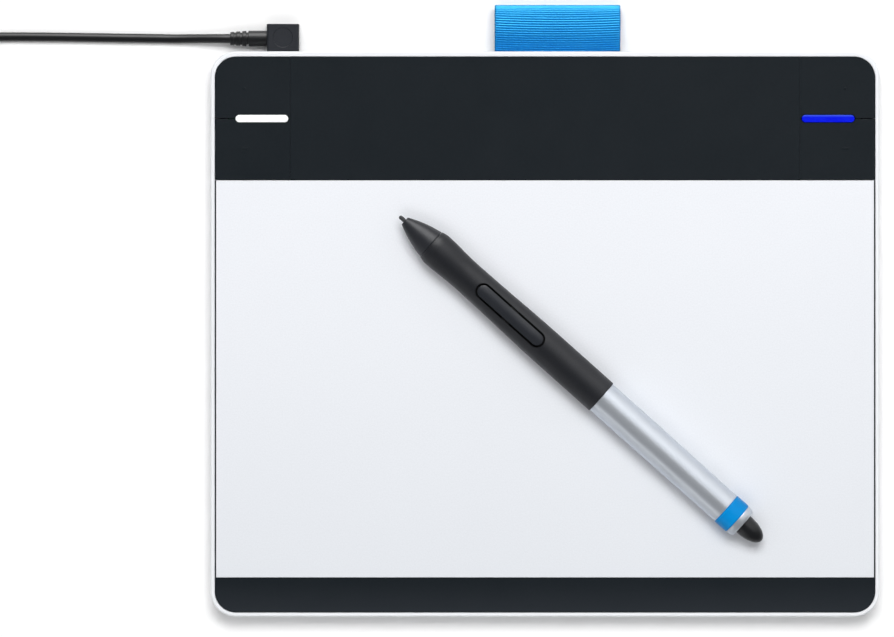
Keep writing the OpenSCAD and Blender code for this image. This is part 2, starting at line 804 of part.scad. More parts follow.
// The route again, with extra points on a smooth curve between its own
function smooth(p, n) = let (last = len(p) - 1) concat([for (i = [0:last - 1], k = [0:n - 1]) let (
        t = k / n,
        a = p[max(i - 1, 0)],
        b = p[i],
        c = p[i + 1],
        d = p[min(i + 2, last)]
    ) b + 0.5 * t * ((c - a) + t * ((2 * a - 5 * b + 4 * c - d) + t * (3 * b - a - 3 * c + d)))], [p[last]]);

// A tube of radius r along a route, as one closed mesh
module tube(route, r, sides = 8) {
    last = len(route) - 1;
    rings = [for (i = [0:last]) let (
            along = toward(route[max(i - 1, 0)], route[min(i + 1, last)]),
            level = toward([0, 0, 0], cross([0, 0, 1], along)),
            up = cross(along, level)
        ) for (k = [0:sides - 1])
            route[i] + r * (level * cos(360 * k / sides) + up * sin(360 * k / sides))];
    ends = [[for (k = [0:sides - 1]) sides - 1 - k], [for (k = [0:sides - 1]) last * sides + k]];
    walls = [for (i = [0:last - 1], k = [0:sides - 1]) let (a = i * sides + k, b = i * sides + (k + 1) % sides)
        each [[a, b, a + sides], [b, b + sides, a + sides]]];
    polyhedron(points = rings, faces = concat(ends, walls), convexity = 6);
}

module plug_body() {
    color(black) difference() {
        translate([plug_x, 0, plug_z]) rotate([-90, 0, 0]) translate([0, 0, plug_y[0]])
            linear_extrude(plug_y[1] - plug_y[0]) round_rect(plug_w, plug_h, 0.8);
        // A shallow round on the top face
        translate([plug_x, (plug_y[0] + plug_y[1]) / 2, plug_z + plug_h / 2 - 0.2]) cylinder(r = 3.2, h = 1);
    }
}

module plug_shell() {
    color(steel) translate([plug_x, shell_y, plug_z]) rotate([-90, 0, 0]) linear_extrude(plug_y[0] - shell_y)
        difference() {
            square(shell_size, center = true);
            square([shell_size[0] - 2 * shell_wall, shell_size[1] - 2 * shell_wall], center = true);
        }
}

// The ribbed relief beside the plug, drawn as [distance from the plug, radius]
module plug_relief() {
    long = plug_x - plug_w / 2 - relief_end;
    color(black) translate([plug_x - plug_w / 2, lead_y, plug_z]) rotate([0, -90, 0]) rotate_extrude()
        difference() {
            polygon([[0, 0], [2.6, 0], [2.6, 6], [2.15, long], [0, long]]);
            for (k = [0:2]) translate([2, 6 + 2 * k]) square([1, 0.7]);
        }
}

module lead_run() {
    color(black) tube(smooth(lead_route, 2), lead_d / 2);
}

module lead_coil() {
    color(black) translate([coil_at[0], coil_at[1], 0]) rotate_extrude()
        translate([coil_in - lead_d / 2, coil_z[0]]) square([coil_out - coil_in + lead_d, coil_z[1] - coil_z[0]]);
}

module coil_tie() {
    wide = coil_out - coil_in + lead_d + 0.2;
    high = coil_z[1] - coil_z[0] + 0.1;
    color(black) translate([coil_at[0] + coil_r, coil_at[1], (coil_z[0] + coil_z[1]) / 2]) difference() {
        cube([wide + 2 * tie_t, tie_w, high + 2 * tie_t], center = true);
        cube([wide, tie_w + 1, high], center = true);
    }
}

module lead_tail() {
    color(black) tube(smooth(tail_route, 2), lead_d / 2);
}

// The far plug lies flat and points to the front
module far_plug_relief() {
    color(black) translate([tail_x, far_y, far_z]) rotate([90, 0, 0])
        cylinder(r1 = 2.1, r2 = 3.1, h = far_relief);
}

module far_plug_body() {
    color(black) translate([tail_x, far_y - far_relief, far_z]) rotate([90, 0, 0])
        linear_extrude(far_grip[2]) round_rect(far_grip[0], far_grip[1], 2);
}

module far_plug_shell() {
    color(steel) translate([tail_x, far_y - far_relief - far_grip[2], far_z]) rotate([90, 0, 0])
        linear_extrude(far_shell[2]) difference() {
            square([far_shell[0], far_shell[1]], center = true);
            square([far_shell[0] - 0.6, far_shell[1] - 0.6], center = true);
        }
}

module far_plug_insert() {
    color(white) translate([tail_x, far_y - far_relief - far_grip[2], far_z - 1.05]) rotate([90, 0, 0])
        linear_extrude(far_shell[2] - 0.6) square([far_shell[0] - 0.7, 1.8], center = true);
}

bottom_shell();
top_frame();
drawing_sheet();
key(key_sides[0]);  // key_back_left
key(key_sides[1]);  // key_front_left
key(key_sides[2]);  // key_back_right
key(key_sides[3]);  // key_front_right
light(-1);  // light_left
light(1);  // light_right
pen_loop();
loop_retainer();
rubber_feet();
case_screws();
battery_door();
touch_film();
sensor_board();
shield_plate();
main_board();
controller_chips();
flex_cable();
flex_socket();
usb_socket();
status_leds();
tact_switches();
plunger(key_sides[0]);  // plunger_back_left
plunger(key_sides[1]);  // plunger_front_left
plunger(key_sides[2]);  // plunger_back_right
plunger(key_sides[3]);  // plunger_front_right
battery_contacts();
module_header();
spare_nibs();
nib_puller();
pen_nib();
pen_cone();
pen_grip();
pen_barrel();
pen_ring();
pen_collar();
pen_eraser();
side_switch();
switch_pivot();
pen_carrier();
pen_core();
pen_winding();
nib_sensor();
pen_board();
switch_domes();
eraser_sensor();
plug_body();
plug_shell();
plug_relief();
lead_run();
lead_coil();
coil_tie();
lead_tail();
far_plug_body();
far_plug_shell();
far_plug_insert();
far_plug_relief();
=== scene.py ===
"""Looks of the pen drawing tablet: its camera, light, cord, fabric loop and every material.

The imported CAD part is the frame. All sizes are in metres, in the frame's own axes: +Z up from the
table, +Y to the tablet's back edge, +X to the user's right.
"""

import json
import math

import bmesh
import bpy
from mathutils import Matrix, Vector

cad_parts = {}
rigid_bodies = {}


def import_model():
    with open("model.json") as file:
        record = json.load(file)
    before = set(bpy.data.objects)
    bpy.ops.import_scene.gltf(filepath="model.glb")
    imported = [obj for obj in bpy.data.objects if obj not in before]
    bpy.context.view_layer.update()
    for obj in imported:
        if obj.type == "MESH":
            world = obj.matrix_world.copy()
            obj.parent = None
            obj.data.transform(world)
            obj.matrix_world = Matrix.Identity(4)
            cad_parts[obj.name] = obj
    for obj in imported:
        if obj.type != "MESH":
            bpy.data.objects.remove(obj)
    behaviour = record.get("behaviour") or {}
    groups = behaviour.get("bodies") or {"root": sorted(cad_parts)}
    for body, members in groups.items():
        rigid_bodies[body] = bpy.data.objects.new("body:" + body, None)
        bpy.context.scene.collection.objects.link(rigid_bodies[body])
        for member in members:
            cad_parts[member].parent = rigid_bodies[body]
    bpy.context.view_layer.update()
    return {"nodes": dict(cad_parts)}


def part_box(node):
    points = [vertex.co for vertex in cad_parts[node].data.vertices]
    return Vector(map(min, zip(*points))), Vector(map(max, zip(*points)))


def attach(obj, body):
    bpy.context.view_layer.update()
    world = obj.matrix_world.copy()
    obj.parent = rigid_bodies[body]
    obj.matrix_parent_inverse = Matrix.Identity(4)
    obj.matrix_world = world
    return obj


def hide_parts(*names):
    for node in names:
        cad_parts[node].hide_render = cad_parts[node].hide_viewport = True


for spare in list(bpy.data.objects):
    bpy.data.objects.remove(spare)

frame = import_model()
NODES = frame["nodes"]
MM = 0.001

CASE_LOW, CASE_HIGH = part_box("bottom_shell")
SHEET_LOW, SHEET_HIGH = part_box("drawing_sheet")


# ---------------------------------------------------------------- camera, floor and light

VIEW_WIDTH = 0.290
VIEW_CENTRE = Vector((-0.0318, -0.0026, CASE_HIGH.z))
CAMERA_UP = 2.5
SENSOR = 36.0
CLIP = (0.1, 20.0)


def make_camera():
    """Straight above, through a long lens, with the photo's framing."""
    data = bpy.data.cameras.new("camera")
    data.sensor_width = SENSOR
    data.lens = SENSOR * CAMERA_UP / VIEW_WIDTH
    data.clip_start, data.clip_end = CLIP
    camera = bpy.data.objects.new("camera", data)
    camera.location = VIEW_CENTRE + Vector((0, 0, CAMERA_UP))
    bpy.context.scene.collection.objects.link(camera)
    bpy.context.scene.camera = camera


def area_light(name, place, size, watts, shades=True, shines=True):
    """A soft lamp aimed at the object, which shades it, shines in its glossy surfaces, or both."""
    data = bpy.data.lights.new(name, "AREA")
    data.shape = "RECTANGLE"
    data.size, data.size_y = size
    data.energy = watts
    light = bpy.data.objects.new(name, data)
    light.location = place
    light.rotation_mode = "QUATERNION"
    light.rotation_quaternion = (-Vector(place)).to_track_quat("-Z", "Y")
    light.visible_diffuse = shades
    light.visible_glossy = shines
    bpy.context.scene.collection.objects.link(light)


# Lamps: name, place, size, watts, and whether they shade the surfaces or only shine in them
SHADE = {"shines": False}
SHINE = {"shades": False}
LAMPS = (
    ("key", (0.08, 0.80, 2.0), (1.2, 0.9), 36, SHADE),
    ("left_fill", (-2.2, 0.3, 2.4), (1.2, 2.4), 6, SHADE),
    ("right_fill", (2.2, 0.3, 2.4), (1.2, 2.4), 4, SHADE),
    ("front_fill", (0, -1.4, 2.8), (2.4, 1.2), 20, SHADE),
    ("rear_strip", (0.0, 2.2, 1.25), (1.8, 2.0), 70, SHINE),
    ("right_panel", (0.77, 0.86, 0.97), (2.0, 2.35), 12.5, SHINE),
    ("left_panel", (-1.9, -2.1, 1.0), (2.0, 1.3), 7.5, SHINE),
)
WORLD_STRENGTH = 0.20


def make_light():
    """Soft light from the rear, with weaker lamps all round and an even white world."""
    for name, place, size, watts, kind in LAMPS:
        area_light(name, place, size, watts, **kind)
    world = bpy.data.worlds.new("studio")
    world.use_nodes = True
    background = world.node_tree.nodes["Background"]
    background.inputs["Color"].default_value = (1.0, 1.0, 1.0, 1)
    background.inputs["Strength"].default_value = WORLD_STRENGTH
    bpy.context.scene.world = world
    bpy.context.scene.view_settings.view_transform = "Standard"


# ---------------------------------------------------------------- materials

def srgb(red, green, blue):
    """A colour given as it looks on screen, 0 to 255, as the linear colour that shaders use."""
    def linear(v):
        v /= 255
        return v / 12.92 if v <= 0.04045 else ((v + 0.055) / 1.055) ** 2.4
    return tuple(linear(v) for v in (red, green, blue))


class Look:
    """A procedural material that is built up step by step."""

    def __init__(self, name, colour, roughness, metallic=0.0, **sockets):
        self.material = bpy.data.materials.new(name)
        self.material.use_nodes = True
        self.tree = self.material.node_tree
        self.shader = self.tree.nodes["Principled BSDF"]
        self.shader.inputs["Base Color"].default_value = (*colour, 1)
        self.shader.inputs["Roughness"].default_value = roughness
        self.shader.inputs["Metallic"].default_value = metallic
        for key, value in sockets.items():
            self.shader.inputs[key.replace("_", " ")].default_value = value
        self.colour = colour
        self.colour_out = None
        self.normal_out = None
        self.place = self.tree.nodes.new("ShaderNodeTexCoord").outputs["Object"]

    def node(self, kind, inputs=(), **settings):
        made = self.tree.nodes.new(kind)
        for key, value in settings.items():
            setattr(made, key, value)
        for key, value in dict(inputs).items():
            if isinstance(value, bpy.types.NodeSocket):
                self.tree.links.new(value, made.inputs[key])
            else:
                made.inputs[key].default_value = value
        return made

    def stretched(self, scale):
        """The object's coordinates, scaled by axis, so that a texture runs along one of them."""
        return self.node("ShaderNodeMapping", {"Vector": self.place, "Scale": scale}).outputs["Vector"]

    def along(self, axis):
        """The object's own coordinate along the axis X, Y or Z."""
        return self.node("ShaderNodeSeparateXYZ", {"Vector": self.place}).outputs[axis]

    def noise(self, grain, detail=3.0, roughness=0.55, vector=None, distortion=0.0):
        """Noise whose features are about grain metres wide."""
        return self.node("ShaderNodeTexNoise", {
            "Vector": vector or self.place, "Scale": 1 / grain, "Detail": detail,
            "Roughness": roughness, "Distortion": distortion}).outputs["Fac"]

    def remap(self, value, low, high, from_low=0.3, from_high=0.7):
        return self.node("ShaderNodeMapRange", {
            "Value": value, "From Min": from_low, "From Max": from_high,
            "To Min": low, "To Max": high}).outputs["Result"]

    def mix(self, share, other):
        """Mixes another colour in, by a share that varies over the surface."""
        base = self.colour_out or self.node("ShaderNodeRGB").outputs[0]
        if self.colour_out is None:
            base.default_value = (*self.colour, 1)
        mixed = self.node("ShaderNodeMix", {0: share}, data_type="RGBA")
        self.tree.links.new(base, mixed.inputs[6])
        mixed.inputs[7].default_value = (*other, 1)
        self.colour_out = mixed.outputs[2]
        self.tree.links.new(self.colour_out, self.shader.inputs["Base Color"])
        return self

    def mottle(self, grain, other, most, vector=None):
        """Uneven colour: another colour shows by up to the share most."""
        return self.mix(self.remap(self.noise(grain, vector=vector), 0.0, most), other)

    def uneven_gloss(self, grain, low, high, vector=None):
        value = self.remap(self.noise(grain, vector=vector), low, high)
        self.tree.links.new(value, self.shader.inputs["Roughness"])
        return self

    def relief(self, height, depth, strength=1.0):
        """Adds a height texture, depth metres deep, to the surface's bump."""
        made = self.node("ShaderNodeBump", {"Height": height, "Distance": depth, "Strength": strength})
        if self.normal_out:
            self.tree.links.new(self.normal_out, made.inputs["Normal"])
        self.normal_out = made.outputs["Normal"]
        self.tree.links.new(self.normal_out, self.shader.inputs["Normal"])
        return self

    def cells(self, size, vector=None, feature="F1"):
        return self.node("ShaderNodeTexVoronoi", {"Vector": vector or self.place, "Scale": 1 / size},
                         feature=feature).outputs["Distance"]


def moulded(name, colour, roughness, grain=0.25 * MM, depth=0.012 * MM, tint=0.06, dust=(0.6, 0.6, 0.6),
            gloss=0.05, **sockets):
    """Moulded plastic: a fine spark-eroded grain, faint flow marks and slightly uneven gloss."""
    made = Look(name, colour, roughness, **sockets)
    made.mottle(38 * MM, dust, tint * 0.5)
    made.mottle(1.1 * MM, dust, tint * 0.5)
    made.uneven_gloss(9 * MM, roughness - gloss, roughness + gloss)
    made.relief(made.noise(grain, detail=2.0), depth)
    made.relief(made.cells(grain * 1.7), depth * 0.6)
    return made


FRONT_PAINTED_SHEEN = 12 * MM    # how far the painted sheen reaches from the front edge
PAINTED_HIGHLIGHT_EDGE = 0.8 * MM    # width of the painted highlight along the back edge of the blue light


def make_looks():
    """Every material of the CAD nodes and of the lead and its strap, by node name."""
    looks = {}

    def keep(made, *nodes):
        for n in nodes:
            looks[n] = made.material
        return made

    keep(moulded("white_shell", srgb(236, 238, 242), 0.34, depth=0.006 * MM, tint=0.05,
                 dust=srgb(214, 214, 210), Specular_IOR_Level=0.4), "bottom_shell", "battery_door")
    black_top = moulded("black_top", srgb(15, 22, 27), 0.40, depth=0.006 * MM, tint=0.04,
                        dust=srgb(70, 74, 82), gloss=0.03, Specular_IOR_Level=0.2)
    # Painted sheen: the black is made lighter towards the front edge, where the rounded edge would catch
    # light
    front = CASE_LOW.y
    black_top.mix(black_top.remap(black_top.along("Y"), 0.5, 0.0, front, front + FRONT_PAINTED_SHEEN),
                  srgb(50, 54, 60))
    keep(black_top, "top_frame", "key_back_left", "key_front_left", "key_back_right", "key_front_right")

    sheet = Look("drawing_sheet", srgb(223, 226, 231), 0.44, Specular_IOR_Level=0.25)
    # Painted light: the sheet is made lighter towards its back edge, as if more light fell there
    sheet.mix(sheet.remap(sheet.along("Y"), 0.0, 1.0, SHEET_LOW.y, SHEET_HIGH.y), srgb(236, 238, 243))
    sheet.mottle(60 * MM, srgb(228, 231, 236), 0.3)
    sheet.mottle(0.5 * MM, srgb(190, 193, 198), 0.14)
    sheet.uneven_gloss(14 * MM, 0.38, 0.50)
    sheet.relief(sheet.noise(0.22 * MM, detail=4.0, roughness=0.7), 0.010 * MM)
    strokes = sheet.noise(5 * MM, detail=5.0, vector=sheet.stretched((1.0, 6.0, 1.0)), distortion=0.6)
    sheet.relief(strokes, 0.004 * MM)
    keep(sheet, "drawing_sheet")

    clear = Look("light_clear", srgb(249, 250, 252), 0.22, Subsurface_Weight=0.25, Coat_Weight=0.3)
    clear.shader.inputs["Subsurface Radius"].default_value = (1.2 * MM, 1.2 * MM, 1.2 * MM)
    clear.mottle(2.5 * MM, srgb(228, 233, 240), 0.4)
    clear.relief(clear.noise(0.3 * MM), 0.004 * MM)
    clear.shader.inputs["Emission Color"].default_value = (1, 1, 1, 1)
    clear.shader.inputs["Emission Strength"].default_value = 0.12
    keep(clear, "light_left")

    lit = Look("light_blue", srgb(3, 16, 200), 0.25, Specular_IOR_Level=0.1)
    lit.mottle(1.8 * MM, srgb(10, 34, 214), 0.5)
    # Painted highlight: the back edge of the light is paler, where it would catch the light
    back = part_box("light_right")[1].y
    lit.mix(lit.remap(lit.along("Y"), 0.0, 0.7, back - PAINTED_HIGHLIGHT_EDGE, back), srgb(70, 100, 205))
    lit.relief(lit.noise(0.3 * MM), 0.004 * MM)
    lit.shader.inputs["Emission Color"].default_value = (*srgb(4, 16, 225), 1)
    lit.shader.inputs["Emission Strength"].default_value = 0.18
    keep(lit, "light_right")

    keep(moulded("foot_rubber", srgb(150, 152, 156), 0.82, grain=0.4 * MM, depth=0.03 * MM, tint=0.12,
                 dust=srgb(205, 205, 203), Specular_IOR_Level=0.3), "rubber_feet")
    keep(moulded("inner_white", srgb(226, 226, 224), 0.5), "loop_retainer", "flex_socket")
    keep(moulded("inner_black", srgb(22, 22, 24), 0.55, Specular_IOR_Level=0.2), "controller_chips",
         "module_header", "pen_carrier", "pen_board",
         "plunger_back_left", "plunger_front_left", "plunger_back_right", "plunger_front_right")
    keep(moulded("led_body", srgb(240, 238, 215), 0.3), "status_leds")
    film = moulded("amber_film", srgb(196, 150, 62), 0.25, tint=0.1)
    keep(film, "touch_film", "flex_cable")

    board = Look("solder_mask", srgb(18, 92, 52), 0.32, Coat_Weight=0.4)
    tracks = board.node("ShaderNodeTexBrick", {
        "Vector": board.place, "Scale": 160.0, "Mortar Size": 0.03, "Color1": (0, 0, 0, 1),
        "Color2": (0, 0, 0, 1), "Mortar": (1, 1, 1, 1)}).outputs["Color"]
    board.mix(board.remap(tracks, 0.0, 0.5, 0.0, 1.0), srgb(60, 130, 78))
    board.relief(tracks, 0.03 * MM)
    keep(board, "sensor_board", "main_board")

    steel = Look("bare_steel", srgb(176, 178, 180), 0.34, 1.0, Anisotropic=0.4)
    steel.mottle(3 * MM, srgb(132, 134, 138), 0.5, steel.stretched((1, 12, 1)))
    steel.uneven_gloss(0.8 * MM, 0.26, 0.44, steel.stretched((1, 14, 1)))
    steel.relief(steel.noise(0.5 * MM, vector=steel.stretched((1, 16, 1))), 0.004 * MM)
    keep(steel, "shield_plate", "usb_socket", "tact_switches", "nib_puller",
         "nib_sensor", "eraser_sensor", "plug_shell", "far_plug_shell")
    screw = Look("zinc_screw", srgb(158, 160, 162), 0.42, 1.0)
    screw.mottle(0.5 * MM, srgb(104, 106, 108), 0.6)
    screw.relief(screw.noise(0.15 * MM), 0.01 * MM)
    keep(screw, "case_screws")
    gold = Look("gold_plate", srgb(214, 168, 84), 0.24, 1.0)
    gold.mottle(0.9 * MM, srgb(160, 118, 52), 0.4)
    keep(gold, "battery_contacts", "switch_domes")
    ferrite = Look("ferrite", srgb(58, 58, 60), 0.5, 0.3)
    ferrite.mottle(0.3 * MM, srgb(34, 34, 36), 0.6)
    ferrite.relief(ferrite.noise(0.12 * MM), 0.01 * MM)
    keep(ferrite, "pen_core", "switch_pivot")
    copper = Look("copper_wire", srgb(176, 98, 52), 0.3, 1.0)
    copper.mottle(0.6 * MM, srgb(120, 62, 34), 0.5)
    copper.relief(copper.noise(0.2 * MM), 0.02 * MM)
    keep(copper, "pen_winding")

    nib = moulded("nib_plastic", srgb(26, 28, 32), 0.32, grain=0.15 * MM, depth=0.004 * MM)
    keep(nib, "pen_nib", "spare_nibs")
    keep(moulded("pen_cone", srgb(30, 32, 37), 0.42, grain=0.2 * MM, depth=0.006 * MM, tint=0.05,
                 dust=srgb(90, 92, 96), Specular_IOR_Level=0.4), "pen_cone")
    keep(moulded("rocker", srgb(27, 30, 36), 0.38, grain=0.2 * MM, depth=0.004 * MM, tint=0.05,
                 dust=srgb(90, 92, 96), Specular_IOR_Level=0.4), "side_switch")
    grip = moulded("soft_grip", srgb(9, 11, 16), 0.5, grain=0.3 * MM, depth=0.010 * MM, tint=0.06,
                   dust=srgb(80, 82, 88), Specular_IOR_Level=0.4)
    grip.mottle(0.35 * MM, srgb(36, 38, 44), 0.45)
    keep(grip, "pen_grip")
    silver = Look("silver_lacquer", srgb(198, 204, 212), 0.36, 0.76)
    flakes = silver.cells(0.09 * MM)
    silver.mix(silver.remap(flakes, 0.0, 0.35, 0.2, 0.8), srgb(216, 221, 228))
    silver.mottle(12 * MM, srgb(184, 190, 198), 0.3)
    silver.relief(flakes, 0.003 * MM)
    keep(silver, "pen_barrel", "pen_collar")
    ring = Look("ring_blue", srgb(0, 134, 206), 0.34, Specular_IOR_Level=0.12)
    ring.mottle(1.5 * MM, srgb(0, 144, 218), 0.4)
    ring.relief(ring.noise(0.2 * MM), 0.003 * MM)
    keep(ring, "pen_ring")
    keep(moulded("eraser", srgb(8, 10, 14), 0.34, grain=0.2 * MM, depth=0.004 * MM, tint=0.05,
                 dust=srgb(80, 82, 86), Specular_IOR_Level=0.45), "pen_eraser")
    jacket = moulded("lead_jacket", srgb(9, 10, 13), 0.36, grain=0.3 * MM, depth=0.005 * MM, tint=0.05,
                     dust=srgb(70, 72, 76), gloss=0.02, Specular_IOR_Level=0.45)
    keep(jacket, "lead", "plug_relief", "far_plug_relief")
    keep(moulded("plug_grain", srgb(27, 30, 36), 0.42, grain=0.22 * MM, depth=0.008 * MM, tint=0.06,
                 dust=srgb(90, 92, 98), Specular_IOR_Level=0.35), "plug_body", "far_plug_body")
    keep(moulded("insert_white", srgb(232, 232, 230), 0.4), "far_plug_insert")

    strap = Look("strap_weave", srgb(24, 24, 26), 0.8)
    hooks = strap.cells(0.45 * MM)
    strap.relief(hooks, 0.15 * MM)
    strap.mix(strap.remap(hooks, 0.0, 0.6, 0.1, 0.6), srgb(60, 60, 64))
    keep(strap, "coil_tie")
    return looks


def webbing_look(centre_x, half):
    """Elastic webbing: threads that cross each rib, a silky shine, and painted shade that darkens the
    selvedges.
    """
    made = Look("loop_webbing", srgb(0, 96, 186), 0.36, Specular_IOR_Level=1.0, IOR=1.9)
    made.shader.inputs["Specular Tint"].default_value = (*srgb(90, 235, 255), 1)
    made.shader.inputs["Sheen Weight"].default_value = 0.25
    made.shader.inputs["Sheen Roughness"].default_value = 0.4
    made.shader.inputs["Sheen Tint"].default_value = (*srgb(40, 190, 255), 1)
    threads = made.node("ShaderNodeTexWave", {
        "Vector": made.place, "Scale": 1 / (0.9 * MM), "Distortion": 0.6, "Detail": 2.0,
        "Detail Scale": 2.0}, wave_type="BANDS", bands_direction="X", wave_profile="SIN").outputs["Fac"]
    made.mix(made.remap(threads, 0.0, 0.3, 0.0, 1.0), srgb(0, 84, 174))
    made.mottle(0.7 * MM, srgb(6, 132, 218), 0.3)
    # Painted shade: the colour darkens towards both side edges, where the folded selvedges turn away from
    # the light
    from_middle = made.node("ShaderNodeMath", {0: made.along("X"), 1: centre_x},
                            operation="SUBTRACT").outputs[0]
    distance = made.node("ShaderNodeMath", {0: from_middle}, operation="ABSOLUTE").outputs[0]
    made.mix(made.remap(distance, 0.0, 0.75, half - 0.5 * MM, half - 0.1 * MM), srgb(0, 52, 112))
    made.relief(threads, 0.012 * MM)
    made.relief(made.noise(0.12 * MM, detail=3.0), 0.004 * MM)
    return made.material


# ---------------------------------------------------------------- mesh helpers

def mesh_object(name, points, faces, material, smooth=True):
    """A mesh object with one material, in the scene."""
    mesh = bpy.data.meshes.new(name)
    mesh.from_pydata([tuple(p) for p in points], [], faces)
    mesh.update()
    for face in mesh.polygons:
        face.use_smooth = smooth
    mesh.materials.append(material)
    made = bpy.data.objects.new(name, mesh)
    bpy.context.scene.collection.objects.link(made)
    return made


def grid_faces(rows, columns, wrap_rows=False, wrap_columns=False):
    """Faces of a grid of points, stored row by row."""
    faces = []
    for i in range(rows if wrap_rows else rows - 1):
        for j in range(columns if wrap_columns else columns - 1):
            a, b = i * columns, (i + 1) % rows * columns
            k = (j + 1) % columns
            faces.append((a + j, a + k, b + k, b + j))
    return faces


def clean(made, distance=1e-7):
    """Merges doubled points and turns every face outwards."""
    work = bmesh.new()
    work.from_mesh(made.data)
    bmesh.ops.remove_doubles(work, verts=work.verts, dist=distance)
    bmesh.ops.dissolve_degenerate(work, edges=work.edges, dist=distance)
    bmesh.ops.recalc_face_normals(work, faces=work.faces)
    work.to_mesh(made.data)
    work.free()


def soften(made, width, segments=2, angle=30):
    """Rounds the hard edges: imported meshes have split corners, so those are welded first."""
    weld = made.modifiers.new("weld", "WELD")
    weld.merge_threshold = 1e-6
    flat = made.modifiers.new("flat", "DECIMATE")
    flat.decimate_type = "DISSOLVE"
    flat.angle_limit = math.radians(0.3)
    bevel = made.modifiers.new("bevel", "BEVEL")
    bevel.width = width
    bevel.segments = segments
    bevel.use_clamp_overlap = True
    bevel.limit_method = "ANGLE"
    bevel.angle_limit = math.radians(angle)
    weight = made.modifiers.new("weight", "WEIGHTED_NORMAL")
    weight.keep_sharp = False
    weight.weight = 50


# ---------------------------------------------------------------- the USB lead

LEAD_R = 1.5 * MM
RELIEF_LOW, RELIEF_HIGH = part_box("plug_relief")
LEAD_Y = (RELIEF_LOW.y + RELIEF_HIGH.y) / 2
PLUG_Z = (RELIEF_LOW.z + RELIEF_HIGH.z) / 2
COIL_LOW, COIL_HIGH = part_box("lead_coil")
COIL_X, COIL_Y = (COIL_LOW.x + COIL_HIGH.x) / 2, (COIL_LOW.y + COIL_HIGH.y) / 2
COIL_PITCH = 3.05 * MM
COIL_ROWS = 4
COIL_LAYERS = 4
COIL_TURNS = 13.25
TURN_STEPS = 40         # points in a turn
FIRST_STEP = 0.5        # where in the first turn the lead first steps across, in turns
STEP_SPAN = 0.25        # how much of a turn a step takes
NEXT_LAYER = 0.75       # from a climb to the first step of the layer above, in turns
FAR_LOW, FAR_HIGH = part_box("far_plug_relief")
STRAP = 0.55 * MM       # thickness of the coil's strap
STRAP_CORNER = 1.6 * MM
ROUTE_STEPS = 6         # points between two points of a free stretch

# The free stretches of the lead, in the same points as the part's source
LEAD_ROUTE = [
    (RELIEF_LOW.x, LEAD_Y, PLUG_Z), (-0.105, LEAD_Y, 0.0038), (-0.109, LEAD_Y, 0.0033),
    (-0.113, LEAD_Y, 0.0026), (-0.117, LEAD_Y, 0.0020), (-0.121, LEAD_Y, 0.0016),
    (-0.126, LEAD_Y + 0.0001, 0.0015), (-0.134, LEAD_Y + 0.0002, 0.0015),
    (-0.144, LEAD_Y + 0.00035, 0.0015), (-0.154, LEAD_Y + 0.0005, 0.0015),
    (-0.164, LEAD_Y + 0.0006, 0.0015), (-0.174, LEAD_Y + 0.00065, 0.0015),
    (-0.184, LEAD_Y + 0.0006, 0.0016), (-0.194, LEAD_Y + 0.00035, 0.0019),
    (COIL_X, LEAD_Y, COIL_LOW.z + LEAD_R),
]
TAIL_X = (FAR_LOW.x + FAR_HIGH.x) / 2
TAIL_Z = COIL_HIGH.z - LEAD_R
TAIL_ROUTE = [
    (TAIL_X, COIL_Y, TAIL_Z), (TAIL_X, COIL_Y - 0.005, TAIL_Z - 0.0001),
    (TAIL_X, COIL_Y - 0.010, TAIL_Z - 0.0006), (TAIL_X, COIL_Y - 0.015, TAIL_Z - 0.0018),
    (TAIL_X, COIL_Y - 0.020, TAIL_Z - 0.0036), (TAIL_X, COIL_Y - 0.025, TAIL_Z - 0.0056),
    (TAIL_X, COIL_Y - 0.030, TAIL_Z - 0.0074), (TAIL_X, 0.034, 0.0028), (TAIL_X, 0.030, 0.0020),
    (TAIL_X, 0.026, 0.0016), (TAIL_X, 0.022, 0.0018), (TAIL_X, 0.018, 0.0025), (TAIL_X, 0.015, 0.0032),
    (TAIL_X, 0.012, 0.0038), (TAIL_X, FAR_HIGH.y, 0.0040),
]


def smooth_route(route, steps):
    """The route again, with extra points on a smooth curve through its own."""
    points = [Vector(p) for p in route]
    made = []
    for i in range(len(points) - 1):
        a, b, c = points[max(i - 1, 0)], points[i], points[i + 1]
        d = points[min(i + 2, len(points) - 1)]
        for k in range(steps):
            t = k / steps
            made.append(b + 0.5 * t * ((c - a) + t * ((2 * a - 5 * b + 4 * c - d)
                                                     + t * (3 * b - a - 3 * c + d))))
    made.append(points[-1])
    return made


def ease(t):
    """0 before 0, 1 after 1, and a smooth step between."""
    t = max(0.0, min(1.0, t))
    return t * t * (3 - 2 * t)


def coil_points():
    """The coil's turns. Each layer steps across by a turn in one quarter of the circle, and the lead
    climbs to the next layer in another quarter, so that turns lie beside and on each other."""
    across = COIL_ROWS - 1
    steps = []
    start = FIRST_STEP
    for layer in range(COIL_LAYERS):
        inward = layer % 2 == 0
        for k in range(across):
            steps.append((start + k, 1 if inward else -1, 0))
        rise = start + across - STEP_SPAN
        if layer < COIL_LAYERS - 1:
            steps.append((rise, 0, 1))
        start = rise + NEXT_LAYER
    out_r = LEAD_Y - COIL_Y
    points = []
    for n in range(1, int(COIL_TURNS * TURN_STEPS)):
        f = n / TURN_STEPS
        row = sum(across_by * ease((f - at) / STEP_SPAN) for at, across_by, _ in steps)
        layer = sum(up * ease((f - at) / STEP_SPAN) for at, _, up in steps)
        angle = math.pi / 2 + 2 * math.pi * f
        r = out_r - COIL_PITCH * row
        points.append(Vector((COIL_X + r * math.cos(angle), COIL_Y + r * math.sin(angle),
                              COIL_LOW.z + LEAD_R + COIL_PITCH * layer)))
    return points


